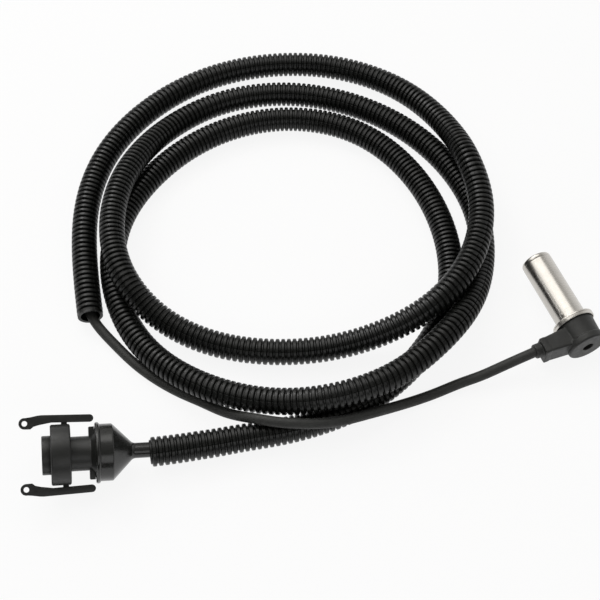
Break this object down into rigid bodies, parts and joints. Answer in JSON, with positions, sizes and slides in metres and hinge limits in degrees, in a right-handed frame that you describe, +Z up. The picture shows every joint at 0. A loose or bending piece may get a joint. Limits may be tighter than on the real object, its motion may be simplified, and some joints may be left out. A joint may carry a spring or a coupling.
{
  "type": "wheel speed sensor",
  "caption": "Right-angled wheel speed sensor with a stainless sensing sleeve, a long lead in corrugated conduit and a round latching connector",
  "frame": {"origin": "under the middle of the bounding box of the sensor without its lead, on the surface it lies on", "axes": "+Z is up. +Y runs along the sleeve from the head to its closed sensing tip. The lead leaves the side arm along -X, and the connector lies at -X."},
  "size_m": [0.2959, 0.247, 0.0319],
  "materials": {
    "black_moulding": "fine matt moulded black",
    "connector_moulding": "satin moulded black",
    "black_rubber": "satin black rubber",
    "stainless": "drawn and polished stainless",
    "pole_steel": "turned soft iron",
    "copper_wire": "enamelled copper wire",
    "magnet_alloy": "ground magnet",
    "contact_brass": "stamped contact brass",
    "seal_rubber": "green seal rubber",
    "cable_jacket": "smooth dark satin jacket",
    "core_insulation": "brown insulation",
    "conduit_nylon": "satin black corrugated polyamide"
  },
  "bodies": {
    "sensor": {"sensor_sleeve": "stainless", "sensor_head": "black_moulding", "pole_pin": "pole_steel", "coil_bobbin": "black_moulding", "coil_winding": "copper_wire", "magnet": "magnet_alloy", "sleeve_o_ring": "seal_rubber", "terminal_pin_a": "contact_brass", "terminal_pin_b": "contact_brass", "cable": "cable_jacket", "cable_end": "cable_jacket", "conduit": "conduit_nylon", "connector_shell": "connector_moulding", "locking_collar": "connector_moulding", "cable_boot": "black_rubber", "contact_carrier": "black_moulding", "socket_contact_a": "contact_brass", "socket_contact_b": "contact_brass", "face_seal": "seal_rubber", "wire_seal": "seal_rubber", "seal_retainer": "black_moulding", "core_wire_a": "core_insulation", "core_wire_b": "core_insulation"},
    "latch_lever_upper": {"latch_lever_upper": "connector_moulding"},
    "latch_lever_lower": {"latch_lever_lower": "connector_moulding"}
  },
  "joints": [
    {"name": "latch_upper", "type": "hinge", "parent": "sensor", "child": "latch_lever_upper", "pos_m": [-0.24784, 0.02953, 0.02277], "axis": [0.0283, -0.4302, 0.9023], "range_deg": [-7, 3], "stiffness_Nm_per_rad": 0.5},
    {"name": "latch_lower", "type": "hinge", "parent": "sensor", "child": "latch_lever_lower", "pos_m": [-0.25681, 0.00434, 0.01104], "axis": [0.0283, -0.4302, 0.9023], "range_deg": [-3, 7], "stiffness_Nm_per_rad": 0.5}
  ]
}
